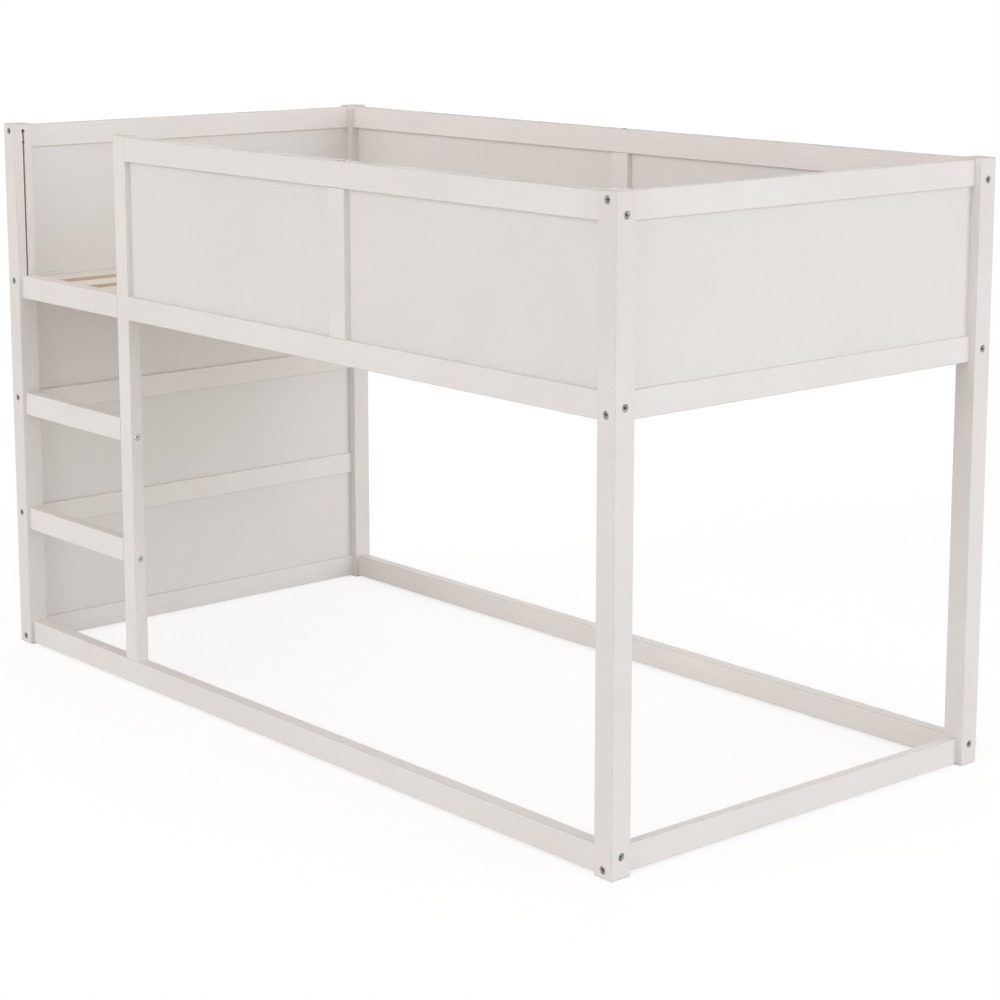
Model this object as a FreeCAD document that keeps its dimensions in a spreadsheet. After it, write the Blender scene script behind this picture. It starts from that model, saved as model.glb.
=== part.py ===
"""Mid sleeper: a raised single bed with a panelled guard, a closed left end and a two-rung entry ladder.

Frame: millimetres, +Z up from the floor, +X along the bed to the right, +Y from the front to the back.
The origin lies on the floor under the middle of the bed.
"""
import FreeCAD, Part
import os
import re

doc = FreeCAD.newDocument("MidSleeper")
sheet = doc.addObject("Spreadsheet::Sheet", "Sizes")

# Driving dimensions in millimetres, and the number of slats
SIZES = (
    ("bed_length", 1985),
    ("bed_width", 982),
    ("bed_height", 1190),
    ("post_side", 45),
    ("post_arris", 2),
    ("post_end_round", 4),
    ("post_proud", 3.5),
    ("rail_height", 51),
    ("rail_arris", 2),
    ("long_rail_thick", 28),
    ("end_rail_thick", 18),
    ("step_pitch", 265.7),
    ("ladder_gap", 392),
    ("ladder_post_width", 45),
    ("stile_width", 51),
    ("panel_thick", 4),
    ("panel_play", 0.2),
    ("panel_slack", 1),
    ("groove_depth", 7),
    ("hole_edge", 13),
    ("bolt_shank", 6),
    ("bolt_play", 0.5),
    ("bolt_head", 13.5),
    ("bolt_head_height", 6),
    ("bolt_head_round", 0.8),
    ("bolt_recess", 7),
    ("bolt_recess_width", 14.5),
    ("bolt_reach", 14),
    ("stile_bolt_recess", 4.5),
    ("socket_width", 6),
    ("socket_depth", 3.5),
    ("insert_width", 10),
    ("insert_length", 16),
    ("insert_play", 0.1),
    ("insert_end_play", 4),
    ("thread_play", 0.15),
    ("dowel_width", 8),
    ("dowel_length", 32),
    ("dowel_seat", 14),
    ("dowel_play", 0.15),
    ("dowel_end_play", 1),
    ("dowel_spread", 13),
    ("slat_count", 16),
    ("slat_width", 75),
    ("slat_thick", 16),
    ("slat_arris", 1.5),
    ("slat_drop", 7),
    ("slat_side_gap", 2),
    ("slat_end_gap", 2),
    ("ledger_thick", 28),
    ("ledger_arris", 1),
    ("ledger_end_gap", 2),
    ("screw_shank", 4),
    ("screw_head", 8),
    ("screw_head_height", 2.4),
    ("screw_play", 0.1),
    ("screw_cross_length", 4.8),
    ("screw_cross_width", 1),
    ("screw_cross_depth", 1.2),
    ("slat_screw_bite", 14),
    ("ledger_screw_cover", 3),
    ("lap_screw_cover", 6),
    ("lap_screw_spread", 10),
    ("cut_margin", 1),
)
for row, (alias, size) in enumerate(SIZES, 1):
    sheet.set(f"A{row}", alias)
    sheet.set(f"B{row}", str(size))
    sheet.setAlias(f"B{row}", alias)
doc.recompute()

X_AXIS = FreeCAD.Vector(1, 0, 0)
Y_AXIS = FreeCAD.Vector(0, 1, 0)
Z_AXIS = FreeCAD.Vector(0, 0, 1)
STRAIGHT = FreeCAD.Rotation()
ALONG_WIDTH = FreeCAD.Rotation(Z_AXIS, 90)
# Turns that carry +z onto each direction that a fastener or a hole can point in
TURNS = {
    "+x": FreeCAD.Rotation(Y_AXIS, 90),
    "-x": FreeCAD.Rotation(Y_AXIS, -90),
    "+y": FreeCAD.Rotation(X_AXIS, -90),
    "-y": FreeCAD.Rotation(X_AXIS, 90),
    "+z": STRAIGHT,
    "-z": FreeCAD.Rotation(X_AXIS, 180),
}
PARALLEL_TOLERANCE = 0.001

# Places that several pieces share, as formulas in the sheet's names
POST_X = "(bed_length / 2 - post_side / 2)"
POST_Y = "(bed_width / 2 - post_side / 2)"
FACE_X = "(bed_length / 2 - post_side)"
FACE_Y = "(bed_width / 2 - post_side)"
BOTTOM_Z = "post_proud"
LOWER_Z = "(post_proud + step_pitch)"
UPPER_Z = "(post_proud + 2 * step_pitch)"
BED_Z = "(post_proud + 3 * step_pitch)"
TOP_Z = "(bed_height - post_proud - rail_height)"
LADDER_LEFT = f"(ladder_gap - {FACE_X})"
LADDER_RIGHT = f"({LADDER_LEFT} + ladder_post_width)"
LADDER_X = f"({LADDER_LEFT} + ladder_post_width / 2)"
LADDER_FOOT_Z = f"({BOTTOM_Z} + rail_height)"
GUARD_LENGTH = f"({FACE_X} - {LADDER_RIGHT})"
GUARD_FOOT_Z = f"({BED_Z} + rail_height)"
GUARD_HEIGHT = f"({TOP_Z} - {GUARD_FOOT_Z})"
FRONT_STILE_X = f"({LADDER_RIGHT} + {GUARD_LENGTH} / 2)"
BACK_STILE_X = "0"
STEP_CLEAR = "(step_pitch - rail_height)"
LEDGER_Y = f"({POST_Y} - long_rail_thick / 2 - ledger_thick / 2)"
LEDGER_HEIGHT = "(rail_height - slat_drop - slat_thick)"
LEDGER_LENGTH = f"(2 * {FACE_X} - 2 * ledger_end_gap)"
SLAT_Z = f"({BED_Z} + {LEDGER_HEIGHT})"
# Slats pass between the posts and fill the bed from end rail to end rail
SLAT_LENGTH = f"(2 * {FACE_Y} - 2 * slat_side_gap)"
SLAT_RUN = f"(2 * {POST_X} - end_rail_thick - 2 * slat_end_gap)"
SLAT_PITCH = f"(({SLAT_RUN} - slat_width) / (slat_count - 1))"
FIRST_SLAT_X = f"(slat_width / 2 - {SLAT_RUN} / 2)"
# A slat's screw stands in the middle of its bearing on the ledger
SLAT_SCREW_Y = f"(({SLAT_LENGTH} / 2 + {LEDGER_Y} - ledger_thick / 2) / 2)"
# Lap screws sit midway between the ledger's top and the panel groove
LAP_SCREW_Z = f"(({SLAT_Z} + {GUARD_FOOT_Z} - groove_depth) / 2)"

# Widths and depths of holes and grooves
GROOVE_WIDTH = "(panel_thick + 2 * panel_play)"
BOLT_HOLE = "(bolt_shank + 2 * bolt_play)"
INSERT_HOLE = "(insert_width + 2 * insert_play)"
INSERT_DEPTH = "(insert_length + insert_end_play)"
DOWEL_HOLE = "(dowel_width + 2 * dowel_play)"
DOWEL_DEPTH = "(dowel_length - dowel_seat + dowel_end_play)"
SCREW_HOLE = "(screw_shank + 2 * screw_play)"

# Heights of the holes in a rail's end, above its lower edge
LOW = "hole_edge"
HIGH = "(rail_height - hole_edge)"
MIDDLE = "(rail_height / 2)"
# A bolt and its dowels for each kind of rail end, set so that the two bolts in a post pass each other
LONG_TOP = (LOW, (HIGH,))
LONG_BED = (MIDDLE, (LOW, HIGH))
LONG_BOTTOM = (HIGH, (LOW,))
RUNG = (LOW, (HIGH,))
END_HIGH = (HIGH, (LOW,))
END_LOW = (LOW, (HIGH,))

# Rails along the bed: name, lower edge, holes
LONG_RAILS = (
    ("top_rail", TOP_Z, LONG_TOP),
    ("bed_rail", BED_Z, LONG_BED),
    ("bottom_rail", BOTTOM_Z, LONG_BOTTOM),
)
RUNGS = (
    ("upper_rung", UPPER_Z, RUNG),
    ("lower_rung", LOWER_Z, RUNG),
)
# Rails across the ends: name, lower edge, holes, edges with a panel groove
LEFT_RAILS = (
    ("left_top_rail", TOP_Z, END_HIGH, ("lower",)),
    ("left_bed_rail", BED_Z, END_HIGH, ("lower", "upper")),
    ("left_upper_rail", UPPER_Z, END_HIGH, ("lower", "upper")),
    ("left_lower_rail", LOWER_Z, END_HIGH, ("lower", "upper")),
    ("left_bottom_rail", BOTTOM_Z, END_LOW, ("upper",)),
)
RIGHT_RAILS = (
    ("right_top_rail", TOP_Z, END_HIGH, ("lower",)),
    ("right_bed_rail", BED_Z, END_LOW, ("upper",)),
    ("right_bottom_rail", BOTTOM_Z, END_LOW, ()),
)
# Panels of each end: name, height of the opening's lower edge, its rise
LEFT_PANELS = (
    ("left_top_panel", GUARD_FOOT_Z, GUARD_HEIGHT),
    ("left_upper_panel", f"({UPPER_Z} + rail_height)", STEP_CLEAR),
    ("left_middle_panel", f"({LOWER_Z} + rail_height)", STEP_CLEAR),
    ("left_lower_panel", f"({BOTTOM_Z} + rail_height)", STEP_CLEAR),
)
RIGHT_PANELS = (("right_panel", GUARD_FOOT_Z, GUARD_HEIGHT),)

PIECES = []
SUBPARTS = []
# Where each kind of fastener goes: a place and a direction for every one
PLACES = {
    "end_rail_bolts": [],
    "long_rail_bolts": [],
    "ladder_bolts": [],
    "stile_bolts": [],
    "ladder_foot_bolt": [],
    "insert_nuts": [],
    "dowels": [],
    "slat_screws": [],
    "ledger_screws": [],
    "lap_screws": [],
}


def formula(text):
    """The text with every size name bound to the sheet."""
    return re.sub(r"[a-z_]+", r"Sizes.\g<0>", text)


def value(name):
    return sheet.get(name)


def signed(side, text):
    return f"{side} * ({text})"


def bind(thing, **sizes):
    for name, text in sizes.items():
        thing.setExpression(name, formula(text))


def locate(thing, holder, place, turn):
    """Sets a placement property: its turn, and its three coordinates bound to the sheet."""
    setattr(thing, holder, FreeCAD.Placement(FreeCAD.Vector(), turn))
    for letter, text in zip("xyz", place):
        thing.setExpression(f"{holder}.Base.{letter}", formula(text))


def feature(body, kind, name, place, **sizes):
    """A primitive feature of a body, placed in the body's own frame."""
    made = body.newObject(f"PartDesign::{kind}", f"{body.Name}_{name}")
    ground = [plane for plane in body.Origin.OriginFeatures if plane.Role == "XY_Plane"]
    made.AttachmentSupport = [(ground[0], "")]
    made.MapMode = "FlatFace"
    locate(made, "AttachmentOffset", place, STRAIGHT)
    bind(made, **sizes)
    made.recompute()
    return made


def edges_along(shape, axis):
    """Names of the straight edges that run along an axis."""
    names = []
    for number, edge in enumerate(shape.Edges, 1):
        straight = isinstance(edge.Curve, Part.Line)
        if straight and edge.Curve.Direction.cross(axis).Length < PARALLEL_TOLERANCE:
            names.append(f"Edge{number}")
    return names


def faces_across(shape, axis):
    """Names of the flat faces that stand across an axis."""
    names = []
    for number, face in enumerate(shape.Faces, 1):
        if face.normalAt(0, 0).cross(axis).Length < PARALLEL_TOLERANCE:
            names.append(f"Face{number}")
    return names


def top_face(shape):
    """Name of the highest face."""
    heights = [face.CenterOfMass.z for face in shape.Faces]
    return f"Face{heights.index(max(heights)) + 1}"


def round_off(body, base, names, radius):
    made = body.newObject("PartDesign::Fillet", f"{body.Name}_round")
    made.Base = (base, names)
    bind(made, Radius=radius)
    made.recompute()
    return made


class Piece:
    """One sub-part: a blank, less the cutters that are taken from it."""

    def __init__(self, label, place, turn=STRAIGHT):
        self.label = label
        self.place = place
        self.turn = turn
        self.blank = doc.addObject("PartDesign::Body", f"{label}_blank")
        self.cutters = []
        PIECES.append(self)

    def board(self, low, size):
        length, width, height = size
        return feature(self.blank, "AdditiveBox", "board", low, Length=length, Width=width, Height=height)

    def bar(self, low, size, axis, arris):
        """A planed bar with its four long edges eased."""
        board = self.board(low, size)
        return round_off(self.blank, board, edges_along(board.Shape, axis), arris)

    def cutter(self, kind, place, turn, **sizes):
        made = doc.addObject(f"Part::{kind}", f"{self.label}_cutter")
        locate(made, "Placement", place, turn)
        bind(made, **sizes)
        self.cutters.append(made)

    def cut_box(self, low, size):
        self.cutter("Box", low, STRAIGHT, Length=size[0], Width=size[1], Height=size[2])

    def bore(self, start, way, width, depth):
        self.cutter("Cylinder", start, TURNS[way], Radius=f"{width} / 2", Height=depth)

    def screw_hole(self, start, way, depth):
        """A hole with a conical mouth for a screw's head, drilled from a face."""
        self.bore(start, way, SCREW_HOLE, depth)
        mouth = "screw_head / 2 + screw_play"
        throat = "screw_shank / 2 + screw_play"
        self.cutter("Cone", start, TURNS[way], Radius1=mouth, Radius2=throat, Height="screw_head_height")

    def finish(self):
        made = self.blank
        if self.cutters:
            tool = doc.addObject("Part::MultiFuse", f"{self.label}_cutters")
            tool.Shapes = self.cutters
            made = doc.addObject("Part::Cut", self.label)
            made.Base = self.blank
            made.Tool = tool
        made.Label = self.label
        locate(made, "Placement", self.place, self.turn)
        SUBPARTS.append(made)


def shifted(place, way, distance):
    """A place moved along a direction."""
    moved = list(place)
    index = "xyz".index(way[1])
    moved[index] = f"{place[index]} {way[0]} ({distance})"
    return tuple(moved)


def bolted(group, seat, way, through, recess="bolt_recess"):
    """A bolt that passes through one piece into an insert in the next; seat is where the two meet."""
    PLACES[group].append((shifted(seat, way, f"{recess} - {through}"), way))
    PLACES["insert_nuts"].append((seat, way))


def dowelled(seat, way):
    """A dowel seated in the first piece that reaches along the direction into the next."""
    PLACES["dowels"].append((shifted(seat, way, "-dowel_seat"), way))


def rail_fixings(group, face, way, rail_z, holes, through="post_side"):
    """Bolt, insert and dowels at one end of a rail; face is (x, y) where the rail meets its upright."""
    bolt_at, dowels_at = holes
    bolted(group, (*face, f"{rail_z} + {bolt_at}"), way, through)
    for height in dowels_at:
        dowelled((*face, f"{rail_z} + {height}"), way)


def upright_holes(piece, axis, side, across, rail_z, holes):
    """Recessed bolt hole from an upright's outer face and dowel holes in its inner face, for one rail."""
    bolt_at, dowels_at = holes
    inward = ("-" if side > 0 else "+") + axis
    outward = ("+" if side > 0 else "-") + axis
    middle = ("0", "0", rail_z)
    outside = shifted(middle, outward, f"{across} / 2 + cut_margin")
    inside = shifted(middle, inward, f"{across} / 2 + cut_margin")
    bolt_start = shifted(outside, "+z", bolt_at)
    piece.bore(bolt_start, inward, BOLT_HOLE, f"{across} + 2 * cut_margin")
    piece.bore(bolt_start, inward, "bolt_recess_width", "bolt_recess + cut_margin")
    for height in dowels_at:
        piece.bore(shifted(inside, "+z", height), outward, DOWEL_HOLE, "dowel_seat + cut_margin")


def inner_low(side, across):
    """Lower coordinate of a groove in an upright's inner face, when its outer face looks to a side."""
    return f"-{across} / 2 - cut_margin" if side > 0 else f"{across} / 2 - groove_depth"


def post(label, side_x, side_y, end_rails, rungs=()):
    """A corner post whose outer faces look to side_x and side_y."""
    piece = Piece(label, (signed(side_x, POST_X), signed(side_y, POST_Y), "0"))
    half = "-post_side / 2"
    board = piece.board((half, half, "0"), ("post_side", "post_side", "bed_height"))
    ends = round_off(piece.blank, board, faces_across(board.Shape, Z_AXIS), "post_end_round")
    round_off(piece.blank, ends, edges_along(ends.Shape, Z_AXIS), "post_arris")
    for name, rail_z, holes in (*LONG_RAILS, *rungs):
        upright_holes(piece, "x", side_x, "post_side", rail_z, holes)
    for name, rail_z, holes, grooves in end_rails:
        upright_holes(piece, "y", side_y, "post_side", rail_z, holes)
    centred = f"-{GROOVE_WIDTH} / 2"
    depth = "groove_depth + cut_margin"
    # The groove towards the long side runs up to the top rail's dowel
    guard_seat = f"({GUARD_FOOT_Z} - groove_depth)"
    low = (inner_low(side_x, "post_side"), centred, guard_seat)
    piece.cut_box(low, (depth, GROOVE_WIDTH, f"{TOP_Z} + {HIGH} - {guard_seat}"))
    # The groove towards the end starts where its lowest panel is seated
    end_seat = f"({BOTTOM_Z} + rail_height - groove_depth)" if end_rails is LEFT_RAILS else guard_seat
    low = (centred, inner_low(side_y, "post_side"), end_seat)
    piece.cut_box(low, (GROOVE_WIDTH, depth, f"{TOP_Z} + groove_depth - {end_seat}"))


def rail(label, length, thick, place, holes, turn=STRAIGHT):
    """A rail along its own x axis, with insert and dowel holes in both ends."""
    piece = Piece(label, place, turn)
    piece.bar(("0", f"-{thick} / 2", "0"), (length, thick, "rail_height"), X_AXIS, "rail_arris")
    bolt_at, dowels_at = holes
    for start, way in (("-cut_margin", "+x"), (f"{length} + cut_margin", "-x")):
        piece.bore((start, "0", bolt_at), way, INSERT_HOLE, f"{INSERT_DEPTH} + cut_margin")
        for height in dowels_at:
            piece.bore((start, "0", height), way, DOWEL_HOLE, f"{DOWEL_DEPTH} + cut_margin")
    return piece


def rail_groove(piece, edge, length, start="-cut_margin"):
    """A panel groove along a rail's upper or lower edge, from start to the rail's far end."""
    level = "rail_height - groove_depth" if edge == "upper" else "-cut_margin"
    run = f"{length} + cut_margin - ({start})"
    piece.cut_box((start, f"-{GROOVE_WIDTH} / 2", level), (run, GROOVE_WIDTH, "groove_depth + cut_margin"))


def end_frame(side, rails, panels):
    """The cross rails of one end and the panels between them."""
    length = f"(2 * {FACE_Y})"
    across = signed(side, POST_X)
    for label, rail_z, holes, grooves in rails:
        piece = rail(label, length, "end_rail_thick", (across, f"-{FACE_Y}", rail_z), holes, ALONG_WIDTH)
        for edge in grooves:
            rail_groove(piece, edge, length)
        rail_fixings("end_rail_bolts", (across, f"-{FACE_Y}"), "+y", rail_z, holes)
        rail_fixings("end_rail_bolts", (across, FACE_Y), "-y", rail_z, holes)
    for label, foot_z, rise in panels:
        panel(label, (across, f"-{FACE_Y}"), length, foot_z, rise, ALONG_WIDTH)


def panel(label, start, run, foot_z, rise, turn=STRAIGHT):
    """A thin board seated on the lower groove's floor, with slack in the other three grooves."""
    reach = "(groove_depth - panel_slack)"
    piece = Piece(label, (*start, f"{foot_z} - groove_depth"), turn)
    size = (f"{run} + 2 * {reach}", "panel_thick", f"{rise} + groove_depth + {reach}")
    piece.board((f"-{reach}", "-panel_thick / 2", "0"), size)


def long_rail(label, side, rail_z, holes):
    """A rail along the bed from post to post."""
    place = (f"-{FACE_X}", signed(side, POST_Y), rail_z)
    piece = rail(label, f"(2 * {FACE_X})", "long_rail_thick", place, holes)
    rail_fixings("long_rail_bolts", (f"-{FACE_X}", signed(side, POST_Y)), "+x", rail_z, holes)
    rail_fixings("long_rail_bolts", (FACE_X, signed(side, POST_Y)), "-x", rail_z, holes)
    return piece


def edge_bolt_hole(piece, across, level, way, through, recess):
    """Recessed bolt hole through a rail from its upper or lower edge."""
    start = shifted((across, "0", level), way, "-cut_margin")
    piece.bore(start, way, BOLT_HOLE, f"{through} + 2 * cut_margin")
    piece.bore(start, way, "bolt_recess_width", f"{recess} + cut_margin")


def dowel_pair(piece, middle, level, way, depth):
    """Two dowel holes side by side in an edge or an end."""
    for side in (-1, 1):
        start = shifted((f"{middle} + {signed(side, 'dowel_spread')}", "0", level), way, "-cut_margin")
        piece.bore(start, way, DOWEL_HOLE, f"{depth} + cut_margin")


def stile_seat(piece, middle):
    """Dowel holes in a bed rail's upper edge under a stile."""
    dowel_pair(piece, middle, "rail_height", "-z", "dowel_seat")


def slat_middle(number):
    return f"({FIRST_SLAT_X} + {number} * {SLAT_PITCH})"


def ledger_screw_places():
    """Places along the bed halfway between slats, at every second gap."""
    gaps = range(0, int(value("slat_count")) - 1, 2)
    return [f"({slat_middle(gap)} + {SLAT_PITCH} / 2)" for gap in gaps]


def ledger_screw_holes(piece, side):
    """Blind screw holes in a bed rail's inner face for its ledger."""
    way = "-y" if side < 0 else "+y"
    level = f"{LEDGER_HEIGHT} / 2"
    for across in ledger_screw_places():
        start = (f"{across} + {FACE_X}", signed(-side, "long_rail_thick / 2 + cut_margin"), level)
        piece.bore(start, way, SCREW_HOLE, "long_rail_thick / 2 - ledger_screw_cover + cut_margin")


def front_side():
    """Top rail of the guard, bed rail halved for the ladder post, and bottom rail that carries its foot."""
    place = (LADDER_RIGHT, f"-{POST_Y}", TOP_Z)
    top = rail("front_top_rail", GUARD_LENGTH, "long_rail_thick", place, LONG_TOP)
    rail_groove(top, "lower", GUARD_LENGTH)
    edge_bolt_hole(top, f"{GUARD_LENGTH} / 2", "rail_height", "-z", "rail_height", "stile_bolt_recess")
    rail_fixings("ladder_bolts", (LADDER_RIGHT, f"-{POST_Y}"), "+x", TOP_Z, LONG_TOP, "ladder_post_width")
    rail_fixings("long_rail_bolts", (FACE_X, f"-{POST_Y}"), "-x", TOP_Z, LONG_TOP)

    bed = long_rail("front_bed_rail", -1, BED_Z, LONG_BED)
    rail_groove(bed, "upper", f"2 * {FACE_X}", "ladder_gap + ladder_post_width - groove_depth")
    lap = ("ladder_post_width", "long_rail_thick / 2 + cut_margin", "rail_height + 2 * cut_margin")
    bed.cut_box(("ladder_gap", "-long_rail_thick / 2 - cut_margin", "-cut_margin"), lap)
    stile_seat(bed, f"{FRONT_STILE_X} + {FACE_X}")
    ledger_screw_holes(bed, -1)
    for side in (-1, 1):
        across = f"{LADDER_X} + {signed(side, 'lap_screw_spread')}"
        start = (f"{across} + {FACE_X}", "long_rail_thick / 2", f"{LAP_SCREW_Z} - {BED_Z}")
        bed.screw_hole(start, "-y", "long_rail_thick / 2 + cut_margin")
        place = (across, f"long_rail_thick / 2 - {POST_Y}", LAP_SCREW_Z)
        PLACES["lap_screws"].append((place, "-y"))

    bottom = long_rail("front_bottom_rail", -1, BOTTOM_Z, LONG_BOTTOM)
    foot = f"{LADDER_X} + {FACE_X}"
    edge_bolt_hole(bottom, foot, "0", "+z", "rail_height", "bolt_recess")
    dowel_pair(bottom, foot, "rail_height", "-z", "dowel_seat")

    half_guard = f"(({GUARD_LENGTH} - stile_width) / 2)"
    panel("front_left_panel", (LADDER_RIGHT, f"-{POST_Y}"), half_guard, GUARD_FOOT_Z, GUARD_HEIGHT)
    beyond_stile = f"({FRONT_STILE_X} + stile_width / 2)"
    panel("front_right_panel", (beyond_stile, f"-{POST_Y}"), half_guard, GUARD_FOOT_Z, GUARD_HEIGHT)


def back_side():
    """Three full rails with a panelled guard above the bed."""
    length = f"(2 * {FACE_X})"
    top = long_rail("back_top_rail", 1, TOP_Z, LONG_TOP)
    rail_groove(top, "lower", length)
    stile_at = f"{BACK_STILE_X} + {FACE_X}"
    edge_bolt_hole(top, stile_at, "rail_height", "-z", "rail_height", "stile_bolt_recess")
    bed = long_rail("back_bed_rail", 1, BED_Z, LONG_BED)
    rail_groove(bed, "upper", length)
    stile_seat(bed, stile_at)
    ledger_screw_holes(bed, 1)
    long_rail("back_bottom_rail", 1, BOTTOM_Z, LONG_BOTTOM)

    half_back = f"({FACE_X} - stile_width / 2)"
    panel("back_left_panel", (f"-{FACE_X}", POST_Y), half_back, GUARD_FOOT_Z, GUARD_HEIGHT)
    beyond_stile = f"({BACK_STILE_X} + stile_width / 2)"
    panel("back_right_panel", (beyond_stile, POST_Y), half_back, GUARD_FOOT_Z, GUARD_HEIGHT)


def rungs():
    """Two steps between the front left post and the ladder post."""
    for label, rail_z, holes in RUNGS:
        rail(label, "ladder_gap", "long_rail_thick", (f"-{FACE_X}", f"-{POST_Y}", rail_z), holes)
        rail_fixings("long_rail_bolts", (f"-{FACE_X}", f"-{POST_Y}"), "+x", rail_z, holes)
        rail_fixings("ladder_bolts", (LADDER_LEFT, f"-{POST_Y}"), "-x", rail_z, holes, "ladder_post_width")


def ladder_post():
    """Upright that stands on the bottom rail and crosses the bed rail in a halved joint."""
    piece = Piece("ladder_post", (LADDER_X, f"-{POST_Y}", "0"))
    low = ("-ladder_post_width / 2", "-long_rail_thick / 2", LADDER_FOOT_Z)
    size = ("ladder_post_width", "long_rail_thick", f"bed_height - {LADDER_FOOT_Z}")
    board = piece.board(low, size)
    crowned = round_off(piece.blank, board, [top_face(board.Shape)], "post_end_round")
    round_off(piece.blank, crowned, edges_along(crowned.Shape, Z_AXIS), "rail_arris")
    lap = ("ladder_post_width + 2 * cut_margin", "long_rail_thick / 2 + cut_margin", "rail_height")
    piece.cut_box(("-ladder_post_width / 2 - cut_margin", "0", BED_Z), lap)
    upright_holes(piece, "x", -1, "ladder_post_width", TOP_Z, LONG_TOP)
    for name, rail_z, holes in RUNGS:
        upright_holes(piece, "x", 1, "ladder_post_width", rail_z, holes)

    guard_seat = f"({GUARD_FOOT_Z} - groove_depth)"
    low = (inner_low(-1, "ladder_post_width"), f"-{GROOVE_WIDTH} / 2", guard_seat)
    piece.cut_box(low, ("groove_depth + cut_margin", GROOVE_WIDTH, f"{TOP_Z} + groove_depth - {guard_seat}"))

    foot = (LADDER_X, f"-{POST_Y}", LADDER_FOOT_Z)
    below = f"{LADDER_FOOT_Z} - cut_margin"
    piece.bore(("0", "0", below), "+z", INSERT_HOLE, f"{INSERT_DEPTH} + cut_margin")
    dowel_pair(piece, "0", LADDER_FOOT_Z, "+z", DOWEL_DEPTH)
    bolted("ladder_foot_bolt", foot, "+z", "rail_height")
    for side in (-1, 1):
        dowelled(shifted(foot, "+x", signed(side, "dowel_spread")), "+z")
        start = (signed(side, "lap_screw_spread"), "cut_margin", LAP_SCREW_Z)
        piece.bore(start, "-y", SCREW_HOLE, "long_rail_thick / 2 - lap_screw_cover + cut_margin")


def stile(label, middle, side):
    """Upright between bed rail and top rail, grooved on both edges for the panels."""
    piece = Piece(label, (middle, signed(side, POST_Y), GUARD_FOOT_Z))
    low = ("-stile_width / 2", "-long_rail_thick / 2", "0")
    piece.bar(low, ("stile_width", "long_rail_thick", GUARD_HEIGHT), Z_AXIS, "rail_arris")
    groove = ("groove_depth + cut_margin", GROOVE_WIDTH, f"{GUARD_HEIGHT} + 2 * cut_margin")
    for edge in (-1, 1):
        piece.cut_box((inner_low(edge, "stile_width"), f"-{GROOVE_WIDTH} / 2", "-cut_margin"), groove)
    top = f"{GUARD_HEIGHT} + cut_margin"
    piece.bore(("0", "0", top), "-z", INSERT_HOLE, f"{INSERT_DEPTH} + cut_margin")
    dowel_pair(piece, "0", "0", "+z", DOWEL_DEPTH)
    bolted("stile_bolts", (middle, signed(side, POST_Y), TOP_Z), "-z", "rail_height", "stile_bolt_recess")
    foot = (middle, signed(side, POST_Y), GUARD_FOOT_Z)
    for edge in (-1, 1):
        dowelled(shifted(foot, "+x", signed(edge, "dowel_spread")), "+z")


def ledger(label, side):
    """A batten on a bed rail's inner face that carries the slats' ends."""
    piece = Piece(label, ("0", signed(side, LEDGER_Y), BED_Z))
    low = (f"-{LEDGER_LENGTH} / 2", "-ledger_thick / 2", "0")
    piece.bar(low, (LEDGER_LENGTH, "ledger_thick", LEDGER_HEIGHT), X_AXIS, "ledger_arris")
    way = "-y" if side < 0 else "+y"
    inner = signed(-side, "ledger_thick / 2")
    for across in ledger_screw_places():
        piece.screw_hole((across, inner, f"{LEDGER_HEIGHT} / 2"), way, "ledger_thick + cut_margin")
        place = (across, f"{signed(side, LEDGER_Y)} + {inner}", f"{BED_Z} + {LEDGER_HEIGHT} / 2")
        PLACES["ledger_screws"].append((place, way))
    across = signed(side, f"{SLAT_SCREW_Y} - {LEDGER_Y}")
    for number in range(int(value("slat_count"))):
        start = (slat_middle(number), across, f"{LEDGER_HEIGHT} + cut_margin")
        piece.bore(start, "-z", SCREW_HOLE, "slat_screw_bite + cut_margin")


def slats():
    """Cross slats laid on the ledgers, with one screw at each end."""
    for number in range(int(value("slat_count"))):
        middle = slat_middle(number)
        piece = Piece(f"slat_{number + 1:02d}", (middle, "0", SLAT_Z))
        low = ("-slat_width / 2", f"-{SLAT_LENGTH} / 2", "0")
        piece.bar(low, ("slat_width", SLAT_LENGTH, "slat_thick"), Y_AXIS, "slat_arris")
        for side in (-1, 1):
            across = signed(side, SLAT_SCREW_Y)
            piece.screw_hole(("0", across, "slat_thick"), "-z", "slat_thick + cut_margin")
            PLACES["slat_screws"].append(((middle, across, f"{SLAT_Z} + slat_thick"), "-z"))


def bolt(name, shank):
    """Socket-head bolt with its head's seat at the origin and its shank along +z."""
    body = doc.addObject("PartDesign::Body", name)
    top = ("0", "0", "-bolt_head_height")
    head = feature(body, "AdditiveCylinder", "head", top, Radius="bolt_head / 2", Height="bolt_head_height")
    halfway = -value("bolt_head_height") / 2
    rim = [f"Edge{n}" for n, edge in enumerate(head.Shape.Edges, 1) if edge.BoundBox.ZMax < halfway]
    round_off(body, head, rim, "bolt_head_round")
    feature(body, "AdditiveCylinder", "shank", ("0", "0", "0"), Radius="bolt_shank / 2", Height=shank)
    corner = "socket_width / 3 ^ 0.5"
    socket = feature(body, "SubtractivePrism", "socket", top, Circumradius=corner, Height="socket_depth")
    socket.Polygon = 6
    return body


def insert_nut():
    """Threaded sleeve let into a rail's end."""
    body = doc.addObject("PartDesign::Body", "insert_nut")
    start = ("0", "0", "0")
    feature(body, "AdditiveCylinder", "sleeve", start, Radius="insert_width / 2", Height="insert_length")
    thread = "bolt_shank / 2 + thread_play"
    feature(body, "SubtractiveCylinder", "thread", start, Radius=thread, Height="insert_length")
    return body


def dowel():
    """Round wooden pin that lines up two pieces."""
    body = doc.addObject("PartDesign::Body", "dowel")
    start = ("0", "0", "0")
    feature(body, "AdditiveCylinder", "pin", start, Radius="dowel_width / 2", Height="dowel_length")
    return body


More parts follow.
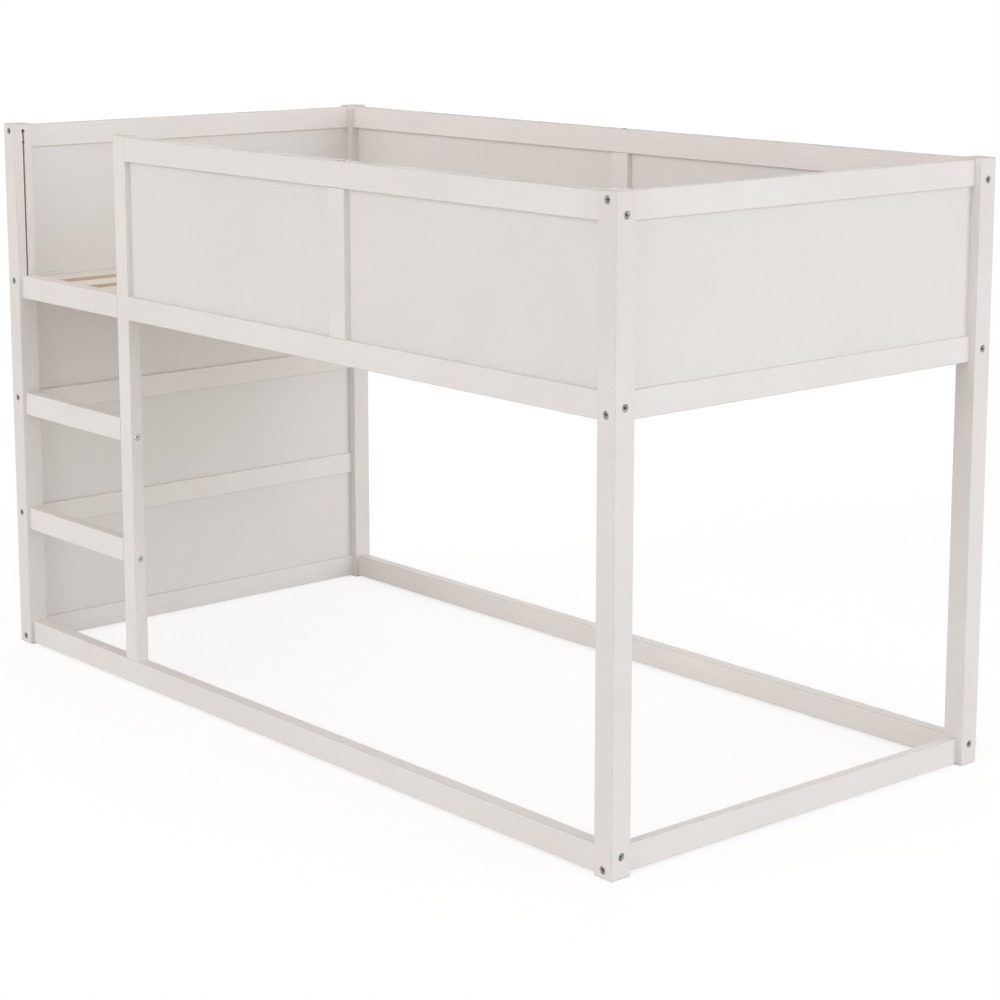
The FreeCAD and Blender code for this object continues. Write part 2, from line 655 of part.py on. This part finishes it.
def screw(name, length):
    """Countersunk wood screw with the top of its head at the origin and its shank along +z."""
    body = doc.addObject("PartDesign::Body", name)
    top = ("0", "0", "0")
    stem = "screw_shank / 2"
    feature(body, "AdditiveCylinder", "shank", top, Radius=stem, Height=length)
    sizes = {"Radius1": "screw_head / 2", "Radius2": stem, "Height": "screw_head_height"}
    feature(body, "AdditiveCone", "head", top, **sizes)
    long, short = "screw_cross_length", "screw_cross_width"
    for tag, wide, deep in (("slot", long, short), ("cross", short, long)):
        sizes = {"Length": wide, "Width": deep, "Height": "screw_cross_depth"}
        feature(body, "SubtractiveBox", tag, (f"-{wide} / 2", f"-{deep} / 2", "0"), **sizes)
    return body


def group(label, master):
    """One node of separate solids: a linked copy of the master at each of its places."""
    copies = []
    for place, way in PLACES[label]:
        copy = doc.addObject("App::Link", f"{label}_copy")
        copy.LinkedObject = master
        locate(copy, "Placement", place, TURNS[way])
        copies.append(copy)
    joined = doc.addObject("Part::Compound", label)
    joined.Label = label
    joined.Links = copies
    SUBPARTS.append(joined)


def fasteners():
    post_bolt = bolt("post_bolt", "post_side - bolt_recess + bolt_reach")
    group("end_rail_bolts", post_bolt)
    group("long_rail_bolts", post_bolt)
    group("ladder_bolts", bolt("ladder_bolt", "ladder_post_width - bolt_recess + bolt_reach"))
    group("stile_bolts", bolt("stile_bolt", "rail_height - stile_bolt_recess + bolt_reach"))
    group("ladder_foot_bolt", bolt("foot_bolt", "rail_height - bolt_recess + bolt_reach"))
    group("insert_nuts", insert_nut())
    group("dowels", dowel())
    group("slat_screws", screw("slat_screw", "slat_thick + slat_screw_bite"))
    group("ledger_screws", screw("ledger_screw", "ledger_thick + long_rail_thick / 2 - ledger_screw_cover"))
    group("lap_screws", screw("lap_screw", "long_rail_thick - lap_screw_cover"))


def write_parts():
    """Stops on any failed object, then writes one file for each sub-part."""
    for thing in doc.Objects:
        if "Invalid" in thing.State or "Error" in thing.State:
            raise RuntimeError(f"{thing.Label} failed: {thing.State}")
    for subpart in SUBPARTS:
        if subpart.Shape.isNull() or not subpart.Shape.isValid():
            raise RuntimeError(f"{subpart.Label} has no sound shape")
    os.makedirs("parts", exist_ok=True)
    for subpart in SUBPARTS:
        subpart.Shape.exportStep(f"parts/{subpart.Label}.step")


post("post_front_left", -1, -1, LEFT_RAILS, RUNGS)
post("post_front_right", 1, -1, RIGHT_RAILS)
post("post_back_left", -1, 1, LEFT_RAILS)
post("post_back_right", 1, 1, RIGHT_RAILS)
ladder_post()
front_side()
back_side()
end_frame(-1, LEFT_RAILS, LEFT_PANELS)
end_frame(1, RIGHT_RAILS, RIGHT_PANELS)
rungs()
stile("front_stile", FRONT_STILE_X, -1)
stile("back_stile", BACK_STILE_X, 1)
ledger("front_ledger", -1)
ledger("back_ledger", 1)
slats()
for piece in PIECES:
    piece.finish()
fasteners()
doc.recompute()
write_parts()
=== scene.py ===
import math
import bpy
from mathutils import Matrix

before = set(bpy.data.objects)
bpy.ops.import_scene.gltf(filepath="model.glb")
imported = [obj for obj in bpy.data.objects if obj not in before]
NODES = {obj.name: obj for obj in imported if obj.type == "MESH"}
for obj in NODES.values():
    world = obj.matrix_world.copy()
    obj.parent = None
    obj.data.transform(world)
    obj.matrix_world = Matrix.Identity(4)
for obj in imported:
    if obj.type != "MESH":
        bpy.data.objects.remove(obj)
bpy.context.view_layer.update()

# Scales that draw a pattern out along one axis, as grain is
ALONG = {"x": (0.05, 1.0, 1.0), "y": (1.0, 0.05, 1.0), "z": (1.0, 1.0, 0.05)}
# Scales that make round spots oval along the grain
OVAL = {"x": (0.6, 1.0, 1.0), "y": (1.0, 0.6, 1.0)}

# Tones of paint, each as a darker and a lighter one, and of upper faces: dust on the lower rails, painted
# shade on the tops of the top rails, and end grain with painted shade on the tops of posts and uprights
RAIL_PAINT = ((0.786, 0.752, 0.728, 1.0), (0.812, 0.780, 0.757, 1.0))
POST_PAINT = ((0.748, 0.716, 0.693, 1.0), (0.776, 0.745, 0.723, 1.0))
BOARD_PAINT = ((0.755, 0.728, 0.707, 1.0), (0.781, 0.755, 0.736, 1.0))
DUSTY = (0.80, 0.765, 0.74, 1.0)
# Painted shade: darker tones for the upper faces of the top rails, and end grain with painted shade for the
# tops of posts and uprights
TOP_SHADE_END_RAILS = (0.61, 0.574, 0.542, 1.0)
TOP_SHADE_LONG_RAILS = (0.55, 0.517, 0.488, 1.0)
END_GRAIN_AND_TOP_SHADE = (0.58, 0.52, 0.465, 1.0)
# Tones of marks in the paint, and a painted highlight for the panels' sheltered corners
FIGURE_TONE = (0.72, 0.675, 0.64, 1.0)
FIBRE_TONE = (0.68, 0.63, 0.59, 1.0)
RUBBED_TONE = (0.58, 0.535, 0.50, 1.0)
STIPPLE_TONE = (0.70, 0.672, 0.65, 1.0)
CORNER_LIGHT_TONE = (0.90, 0.885, 0.87, 1.0)
# Tones of bare wood, with painted shade for the sides of the slats and the bottoms of deep holes
RAW_WOOD = (0.84, 0.60, 0.47, 1.0)
HOLE_SHADE = (0.10, 0.062, 0.045, 1.0)
EARLY_WOOD = (0.84, 0.775, 0.70, 1.0)
LATE_WOOD = (0.76, 0.66, 0.55, 1.0)
PALE_PINE = (0.85, 0.79, 0.72, 1.0)
PINE_FIBRE = (0.68, 0.56, 0.44, 1.0)
PINE_KNOT = (0.30, 0.17, 0.085, 1.0)
WARM_PINE = (0.80, 0.72, 0.63, 1.0)
SIDE_SHADE_PINE = (0.56, 0.425, 0.305, 1.0)
SIDE_SHADE_MOTTLE = (0.24, 0.165, 0.10, 1.0)
BEECH = ((0.60, 0.42, 0.26, 1.0), (0.70, 0.52, 0.34, 1.0))
BEECH_FLECK = (0.40, 0.25, 0.13, 1.0)
# Tones of steel, each as a bright and a dull one, and of the dust and painted shade in the sockets
BOLT_STEEL = ((0.47, 0.47, 0.465, 1.0), (0.22, 0.22, 0.22, 1.0))
# The ladder steel is a brighter copy of the bolt steel, a painted highlight for the ladder bolt heads
LADDER_STEEL_LIT = ((0.78, 0.78, 0.77, 1.0), (0.46, 0.46, 0.45, 1.0))
INSERT_STEEL = ((0.66, 0.61, 0.50, 1.0), (0.50, 0.46, 0.38, 1.0))
SCREW_STEEL = ((0.62, 0.58, 0.48, 1.0), (0.40, 0.37, 0.32, 1.0))
DUST_AND_SHADE_SOCKET = (0.27, 0.265, 0.255, 1.0)
DARK_SOCKET = (0.07, 0.068, 0.062, 1.0)

# The floor's tones as they light the bed, and its tone and glow as they are seen
FLOOR_TONES = ((0.81, 0.792, 0.77, 1.0), (0.83, 0.812, 0.79, 1.0))
FLOOR_SEEN = (0.35, 0.35, 0.35, 1.0)
FLOOR_GLOW = 0.705
FLOOR_REACH = 300.0
FLOOR_DROP = 0.0005
WHITE = (1.0, 1.0, 1.0, 1.0)
WORLD_LEVEL = 0.465
WORLD_TINT = (1.0, 0.966, 0.946, 1.0)

# The photograph's viewpoint in metres, and angles in degrees
CAMERA_PLACE = (3.9578, -3.2956, 1.5998)
CAMERA_DIP = 10.061
CAMERA_TURN = 49.278
CAMERA_LENS = 90.13
CAMERA_SHIFT = -0.12


def add(tree, kind, inputs=None, **settings):
    """A shader node with its settings; an input is a number, a colour or another node's socket."""
    made = tree.nodes.new(kind)
    for name, setting in settings.items():
        setattr(made, name, setting)
    for name, given in (inputs or {}).items():
        if isinstance(given, bpy.types.NodeSocket):
            tree.links.new(given, made.inputs[name])
        else:
            made.inputs[name].default_value = given
    return made


def new_material(name):
    """A material, its tree and its principled shader."""
    material = bpy.data.materials.new(name)
    material.use_nodes = True
    return material, material.node_tree, material.node_tree.nodes["Principled BSDF"]


def noise(tree, coords, scale, detail=4.0, rough=0.5, distortion=0.0):
    inputs = {"Vector": coords, "Scale": scale, "Detail": detail}
    inputs.update({"Roughness": rough, "Distortion": distortion})
    return add(tree, "ShaderNodeTexNoise", inputs).outputs["Fac"]


def spread(tree, value, low, high, to_low, to_high):
    """A value carried from one range to another, held inside it."""
    inputs = {"Value": value, "From Min": low, "From Max": high, "To Min": to_low, "To Max": to_high}
    return add(tree, "ShaderNodeMapRange", inputs).outputs["Result"]


def mix(tree, factor, first, second):
    inputs = {"Factor": factor, 6: first, 7: second}
    return add(tree, "ShaderNodeMix", inputs, data_type="RGBA").outputs[2]


def math_node(tree, operation, first, second):
    return add(tree, "ShaderNodeMath", {0: first, 1: second}, operation=operation).outputs[0]


def moved_by(tree, vector, shift):
    return add(tree, "ShaderNodeVectorMath", {0: vector, 1: shift}, operation="ADD").outputs["Vector"]


def bump(tree, height, strength, distance, below=None):
    inputs = {"Height": height, "Strength": strength, "Distance": distance}
    if below is not None:
        inputs["Normal"] = below
    return add(tree, "ShaderNodeBump", inputs).outputs["Normal"]


def object_coords(tree):
    return add(tree, "ShaderNodeTexCoord").outputs["Object"]


def stretched(tree, coords, scale, offset=(0.0, 0.0, 0.0)):
    """Coordinates in metres, drawn out along the grain."""
    inputs = {"Vector": coords, "Scale": scale, "Location": offset}
    return add(tree, "ShaderNodeMapping", inputs).outputs["Vector"]


def facing(tree):
    """How far a face looks along each axis, without regard to the way."""
    normal = add(tree, "ShaderNodeNewGeometry").outputs["Normal"]
    size = add(tree, "ShaderNodeVectorMath", {0: normal}, operation="ABSOLUTE").outputs["Vector"]
    return add(tree, "ShaderNodeSeparateXYZ", {"Vector": size}).outputs


def arris_mask(tree):
    """One on the rounded arrises and nought on flat faces, which all lie square to an axis."""
    share = facing(tree)
    widest = math_node(tree, "MAXIMUM", math_node(tree, "MAXIMUM", share["X"], share["Y"]), share["Z"])
    return spread(tree, widest, 0.975, 0.86, 0.0, 1.0)


def upper_mask(tree):
    """One on faces that look up and nought on upright ones and on undersides."""
    normal = add(tree, "ShaderNodeNewGeometry").outputs["Normal"]
    upward = add(tree, "ShaderNodeSeparateXYZ", {"Vector": normal}).outputs["Z"]
    return spread(tree, upward, 0.60, 0.95, 0.0, 1.0)


def openness(tree, distance, local):
    """One on open faces and near nought deep in a recess; local looks at the piece alone."""
    inputs = {"Distance": distance}
    return add(tree, "ShaderNodeAmbientOcclusion", inputs, samples=6, only_local=local).outputs["AO"]


def painted_timber(name, axis, seed, paint, upper, bare_cuts=False):
    """Satin paint over planed timber: matt on top, where the upper faces take the given top tone (painted
    shade on the top rails, end grain and painted shade on posts and uprights), and rubbed at the arrises;
    open cuts can show bare wood, and painted shade darkens the bottoms of deep holes.
    """
    material, tree, shader = new_material(name)
    plain = object_coords(tree)
    along = stretched(tree, plain, ALONG[axis], (seed, 2.0 * seed, 3.0 * seed))
    fibre = noise(tree, along, scale=420.0, detail=6.0, rough=0.62, distortion=0.3)
    figure = noise(tree, along, scale=70.0, detail=3.0, distortion=1.6)
    blotch = noise(tree, plain, scale=5.0, detail=3.0)
    stipple = noise(tree, plain, scale=900.0, detail=2.0)
    tone = mix(tree, spread(tree, blotch, 0.35, 0.65, 0.0, 1.0), *paint)
    tone = mix(tree, spread(tree, figure, 0.50, 0.74, 0.0, 0.13), tone, FIGURE_TONE)
    tone = mix(tree, spread(tree, fibre, 0.56, 0.80, 0.0, 0.16), tone, FIBRE_TONE)
    top = upper_mask(tree)
    # Painted shade on the tops: the upper faces take the given top tone, which is darker on the top rails,
    # posts and uprights to stand for the shade there
    top_dust_and_shade = math_node(tree, "MULTIPLY", top, spread(tree, blotch, 0.3, 0.6, 0.7, 1.0))
    tone = mix(tree, top_dust_and_shade, tone, upper)
    patchy = spread(tree, noise(tree, plain, scale=38.0, detail=5.0, rough=0.65), 0.36, 0.62, 0.35, 0.85)
    rubbed = math_node(tree, "MULTIPLY", arris_mask(tree), patchy)
    tone = mix(tree, rubbed, tone, RUBBED_TONE)
    if bare_cuts:
        shallow = openness(tree, distance=0.008, local=True)
        tone = mix(tree, spread(tree, shallow, 0.42, 0.22, 0.0, 1.0), tone, RAW_WOOD)
        # Painted shade: near black at the bottoms of deep holes, where shade falls
        deep = openness(tree, distance=0.020, local=True)
        tone = mix(tree, spread(tree, deep, 0.07, 0.02, 0.0, 1.0), tone, HOLE_SHADE)
    tree.links.new(tone, shader.inputs["Base Color"])
    gloss = spread(tree, math_node(tree, "ADD", blotch, fibre), 0.7, 1.3, 0.44, 0.60)
    tree.links.new(gloss, shader.inputs["Roughness"])
    tree.links.new(spread(tree, top, 0.0, 1.0, 0.26, 0.02), shader.inputs["Specular IOR Level"])
    low = bump(tree, figure, strength=0.10, distance=0.0006)
    low = bump(tree, fibre, strength=0.14, distance=0.00035, below=low)
    low = bump(tree, stipple, strength=0.10, distance=0.00018, below=low)
    tree.links.new(low, shader.inputs["Normal"])
    return material


def painted_board(name, seed):
    """Smooth sheet with rolled-on paint: fine stipple, faint clouds, and a painted highlight that lightens
    the sheltered corners where the sheet meets the frame.
    """
    material, tree, shader = new_material(name)
    plain = stretched(tree, object_coords(tree), (1.0, 1.0, 1.0), (seed, seed, seed))
    stipple = noise(tree, plain, scale=620.0, detail=3.0, rough=0.55)
    roller = noise(tree, plain, scale=150.0, detail=2.0, distortion=0.4)
    cloud = noise(tree, plain, scale=2.6, detail=4.0, rough=0.55)
    tone = mix(tree, spread(tree, cloud, 0.36, 0.64, 0.0, 1.0), *BOARD_PAINT)
    tone = mix(tree, spread(tree, stipple, 0.55, 0.78, 0.0, 0.14), tone, STIPPLE_TONE)
    # Painted highlight: the paint turns lighter where the corner is sheltered
    painted_corner_light = spread(tree, openness(tree, distance=0.004, local=False), 0.70, 0.45, 0.0, 1.0)
    tone = mix(tree, painted_corner_light, tone, CORNER_LIGHT_TONE)
    tree.links.new(tone, shader.inputs["Base Color"])
    gloss = spread(tree, math_node(tree, "ADD", cloud, stipple), 0.7, 1.3, 0.46, 0.62)
    tree.links.new(gloss, shader.inputs["Roughness"])
    shader.inputs["Specular IOR Level"].default_value = 0.26
    low = bump(tree, roller, strength=0.10, distance=0.0005)
    low = bump(tree, stipple, strength=0.14, distance=0.00022, below=low)
    tree.links.new(low, shader.inputs["Normal"])
    return material


def bare_pine(name, axis, pith):
    """Pale softwood with rings about a pith line under the board, fibres and knots; each board differs."""
    material, tree, shader = new_material(name)
    chance = add(tree, "ShaderNodeObjectInfo").outputs["Random"]
    sideways = spread(tree, chance, 0.0, 1.0, 0.0, 0.31)
    upward = spread(tree, chance, 0.0, 1.0, -0.05, 0.04)
    shift = add(tree, "ShaderNodeCombineXYZ", {"X": sideways, "Y": chance, "Z": upward}).outputs["Vector"]
    moved = moved_by(tree, object_coords(tree), shift)
    along = stretched(tree, moved, ALONG[axis])
    wander = math_node(tree, "MULTIPLY", noise(tree, along, scale=16.0, detail=2.0), 0.034)
    bent = moved_by(tree, moved_by(tree, along, pith), wander)
    inputs = {"Vector": bent, "Scale": 52.0, "Distortion": 2.2, "Detail": 3.0, "Detail Scale": 1.4}
    wave = {"wave_type": "RINGS", "rings_direction": axis.upper(), "wave_profile": "SAW"}
    rings = add(tree, "ShaderNodeTexWave", inputs, **wave).outputs["Fac"]
    fibre = noise(tree, along, scale=520.0, detail=6.0, rough=0.65, distortion=0.2)
    cloud = noise(tree, moved, scale=7.0, detail=3.0)
    tone = mix(tree, spread(tree, rings, 0.15, 0.95, 0.0, 0.75), EARLY_WOOD, LATE_WOOD)
    tone = mix(tree, spread(tree, cloud, 0.35, 0.7, 0.0, 0.45), tone, PALE_PINE)
    tone = mix(tree, spread(tree, fibre, 0.52, 0.82, 0.0, 0.45), tone, PINE_FIBRE)
    tone = mix(tree, spread(tree, chance, 0.0, 1.0, 0.0, 0.25), tone, WARM_PINE)
    # Painted shade: the slats' upright sides are darker, with a dark mottle, standing for the shade in the
    # gaps between them
    side_shade = spread(tree, facing(tree)["Z"], 0.90, 0.60, 0.0, 0.85)
    tone = mix(tree, side_shade, tone, SIDE_SHADE_PINE)
    mottle = spread(tree, noise(tree, moved, scale=34.0, detail=3.0, rough=0.6), 0.53, 0.66, 0.0, 0.8)
    tone = mix(tree, math_node(tree, "MULTIPLY", side_shade, mottle), tone, SIDE_SHADE_MOTTLE)
    inputs = {"Vector": stretched(tree, moved, OVAL[axis]), "Scale": 11.0, "Randomness": 1.0}
    spots = add(tree, "ShaderNodeTexVoronoi", inputs).outputs["Distance"]
    ragged = math_node(tree, "ADD", spots, math_node(tree, "MULTIPLY", fibre, 0.05))
    tone = mix(tree, spread(tree, ragged, 0.155, 0.095, 0.0, 0.85), tone, PINE_KNOT)
    tree.links.new(tone, shader.inputs["Base Color"])
    gloss = spread(tree, math_node(tree, "ADD", fibre, cloud), 0.7, 1.3, 0.54, 0.72)
    tree.links.new(gloss, shader.inputs["Roughness"])
    shader.inputs["Specular IOR Level"].default_value = 0.25
    low = bump(tree, rings, strength=0.10, distance=0.0005)
    low = bump(tree, fibre, strength=0.30, distance=0.0004, below=low)
    tree.links.new(low, shader.inputs["Normal"])
    return material


def turned_beech(name):
    """Pale hardwood pins with short dark flecks."""
    material, tree, shader = new_material(name)
    coords = object_coords(tree)
    fleck = noise(tree, coords, scale=900.0, detail=4.0, rough=0.7, distortion=0.6)
    cloud = noise(tree, coords, scale=60.0, detail=3.0)
    tone = mix(tree, spread(tree, cloud, 0.3, 0.7, 0.0, 1.0), *BEECH)
    tone = mix(tree, spread(tree, fleck, 0.55, 0.75, 0.0, 0.7), tone, BEECH_FLECK)
    tree.links.new(tone, shader.inputs["Base Color"])
    tree.links.new(spread(tree, fleck, 0.3, 0.7, 0.55, 0.72), shader.inputs["Roughness"])
    tree.links.new(bump(tree, fleck, strength=0.25, distance=0.0003), shader.inputs["Normal"])
    return material


def plated_steel(name, plate, rough, grime_and_shade):
    """Zinc plate: cloudy spangle, fine scratches, and dust with painted shade darkening the sockets and round
    the heads.
    """
    material, tree, shader = new_material(name)
    coords = object_coords(tree)
    cells = add(tree, "ShaderNodeTexVoronoi", {"Vector": coords, "Scale": 330.0}).outputs["Color"]
    spangle = add(tree, "ShaderNodeSeparateColor", {"Color": cells}).outputs["Red"]
    scratch = noise(tree, coords, scale=2600.0, detail=3.0, rough=0.6, distortion=1.5)
    tone = mix(tree, spread(tree, spangle, 0.15, 0.85, 0.0, 1.0), *plate)
    # Painted shade mixed with dust: darker where the sockets and the rings round the heads are sheltered
    dirt_and_shade = spread(tree, openness(tree, distance=0.004, local=False), 0.70, 0.15, 0.0, 1.0)
    tone = mix(tree, dirt_and_shade, tone, grime_and_shade)
    tree.links.new(tone, shader.inputs["Base Color"])
    shader.inputs["Metallic"].default_value = 1.0
    gloss = spread(tree, math_node(tree, "ADD", spangle, scratch), 0.4, 1.6, rough - 0.08, rough + 0.14)
    tree.links.new(gloss, shader.inputs["Roughness"])
    tree.links.new(bump(tree, scratch, strength=0.12, distance=0.0001), shader.inputs["Normal"])
    return material


def seen_directly(tree):
    """One for the camera's rays and for those that mirrors and glass send on, nought for the rest."""
    path = add(tree, "ShaderNodeLightPath").outputs
    seen = math_node(tree, "MAXIMUM", path["Is Camera Ray"], path["Is Glossy Ray"])
    return math_node(tree, "MAXIMUM", seen, path["Is Transmission Ray"])


def floor_material():
    """Pale floor that reads as white to the camera and still takes the bed's shadow."""
    material, tree, shader = new_material("studio_floor")
    seen = seen_directly(tree)
    tone = mix(tree, noise(tree, object_coords(tree), scale=3.0), *FLOOR_TONES)
    tone = mix(tree, seen, tone, FLOOR_SEEN)
    tree.links.new(tone, shader.inputs["Base Color"])
    shader.inputs["Roughness"].default_value = 0.9
    shader.inputs["Specular IOR Level"].default_value = 0.0
    strength = spread(tree, seen, 0.0, 1.0, 0.0, FLOOR_GLOW)
    glow = add(tree, "ShaderNodeEmission", {"Strength": strength, "Color": WHITE})
    both = add(tree, "ShaderNodeAddShader", {0: shader.outputs[0], 1: glow.outputs[0]})
    tree.links.new(both.outputs[0], tree.nodes["Material Output"].inputs["Surface"])
    return material


def dress(node, material):
    NODES[node].data.materials.clear()
    NODES[node].data.materials.append(material)


def dress_all():
    """Gives each CAD node its material; the grain runs along the timber."""
    rail_x = painted_timber("painted_rail_x", "x", 0.3, RAIL_PAINT, DUSTY)
    rail_y = painted_timber("painted_rail_y", "y", 0.7, RAIL_PAINT, DUSTY)
    # The darker top tones of the top rails, posts and uprights are painted shade on their upper faces
    top_rail_x = painted_timber("painted_top_rail_x", "x", 0.5, RAIL_PAINT, TOP_SHADE_LONG_RAILS)
    top_rail_y = painted_timber("painted_top_rail_y", "y", 0.9, RAIL_PAINT, TOP_SHADE_END_RAILS)
    upright = painted_timber("painted_upright", "z", 1.1, RAIL_PAINT, END_GRAIN_AND_TOP_SHADE)
    post = painted_timber("painted_post", "z", 1.7, POST_PAINT, END_GRAIN_AND_TOP_SHADE, bare_cuts=True)
    board = painted_board("painted_board", 0.4)
    slat_pine = bare_pine("slat_pine", "y", (0.02, 0.0, -0.79))
    ledger_pine = bare_pine("ledger_pine", "x", (0.0, 0.46, -0.76))
    bolt_steel = plated_steel("bolt_steel", BOLT_STEEL, 0.38, DUST_AND_SHADE_SOCKET)
    # Painted highlight: a brighter copy of the bolt steel makes the ladder bolt heads look brighter
    bright_ladder_steel = plated_steel("bright_ladder_steel", LADDER_STEEL_LIT, 0.30, DARK_SOCKET)
    insert_steel = plated_steel("insert_steel", INSERT_STEEL, 0.36, DUST_AND_SHADE_SOCKET)
    screw_steel = plated_steel("screw_steel", SCREW_STEEL, 0.34, DUST_AND_SHADE_SOCKET)
    beech = turned_beech("dowel_beech")
    for node in NODES:
        if node == "ladder_bolts":
            dress(node, bright_ladder_steel)
        elif node.endswith(("_bolts", "_bolt")):
            dress(node, bolt_steel)
        elif node == "insert_nuts":
            dress(node, insert_steel)
        elif node.endswith("_screws"):
            dress(node, screw_steel)
        elif node == "dowels":
            dress(node, beech)
        elif node.startswith("slat_"):
            dress(node, slat_pine)
        elif node.endswith("_ledger"):
            dress(node, ledger_pine)
        elif node.endswith("_panel"):
            dress(node, board)
        elif node.startswith("post_"):
            dress(node, post)
        elif node == "ladder_post" or node.endswith("_stile"):
            dress(node, upright)
        elif node.startswith(("left_", "right_")):
            dress(node, top_rail_y if node.endswith("_top_rail") else rail_y)
        else:
            dress(node, top_rail_x if node.endswith("_top_rail") else rail_x)


def sun(name, azimuth, elevation, strength, width, colour=(1.0, 1.0, 1.0)):
    """A soft lamp at a great distance; its azimuth is counted from the front towards the right end."""
    data = bpy.data.lights.new(name, "SUN")
    data.energy = strength
    data.angle = math.radians(width)
    data.color = colour
    lamp = bpy.data.objects.new(name, data)
    lamp.rotation_euler = (math.radians(90.0 - elevation), 0.0, math.radians(azimuth))
    bpy.context.scene.collection.objects.link(lamp)


def studio_lamps():
    sun("front_light", azimuth=-2.0, elevation=12.0, strength=1.53, width=60.0, colour=(0.98, 0.985, 1.0))
    sun("side_light", azimuth=103.0, elevation=10.0, strength=1.72, width=50.0, colour=(0.91, 0.95, 1.0))
    sun("overhead_light", azimuth=0.0, elevation=90.0, strength=0.45, width=50.0)
    sun("back_light", azimuth=228.0, elevation=6.0, strength=1.3, width=50.0)


def white_world():
    """White to the camera and in reflections, and a plain even light otherwise."""
    world = bpy.data.worlds.new("studio")
    world.use_nodes = True
    bpy.context.scene.world = world
    tree = world.node_tree
    background = tree.nodes["Background"].inputs
    seen = seen_directly(tree)
    tree.links.new(mix(tree, seen, WORLD_TINT, WHITE), background["Color"])
    tree.links.new(spread(tree, seen, 0.0, 1.0, WORLD_LEVEL, 1.0), background["Strength"])


def floor():
    reach = FLOOR_REACH
    corners = [(-reach, -reach, 0.0), (reach, -reach, 0.0), (reach, reach, 0.0), (-reach, reach, 0.0)]
    mesh = bpy.data.meshes.new("floor")
    mesh.from_pydata(corners, [], [(0, 1, 2, 3)])
    ground = bpy.data.objects.new("floor", mesh)
    ground.location.z = -FLOOR_DROP
    mesh.materials.append(floor_material())
    bpy.context.scene.collection.objects.link(ground)


def camera():
    data = bpy.data.cameras.new("camera")
    data.sensor_width = 36.0
    data.lens = CAMERA_LENS
    data.shift_y = CAMERA_SHIFT
    data.clip_start = 0.05
    data.clip_end = 1000.0
    eye = bpy.data.objects.new("camera", data)
    eye.location = CAMERA_PLACE
    eye.rotation_euler = (math.radians(90.0 - CAMERA_DIP), 0.0, math.radians(CAMERA_TURN))
    bpy.context.scene.collection.objects.link(eye)
    bpy.context.scene.camera = eye


bpy.context.scene.view_settings.view_transform = "Standard"
dress_all()
floor()
white_world()
studio_lamps()
camera()
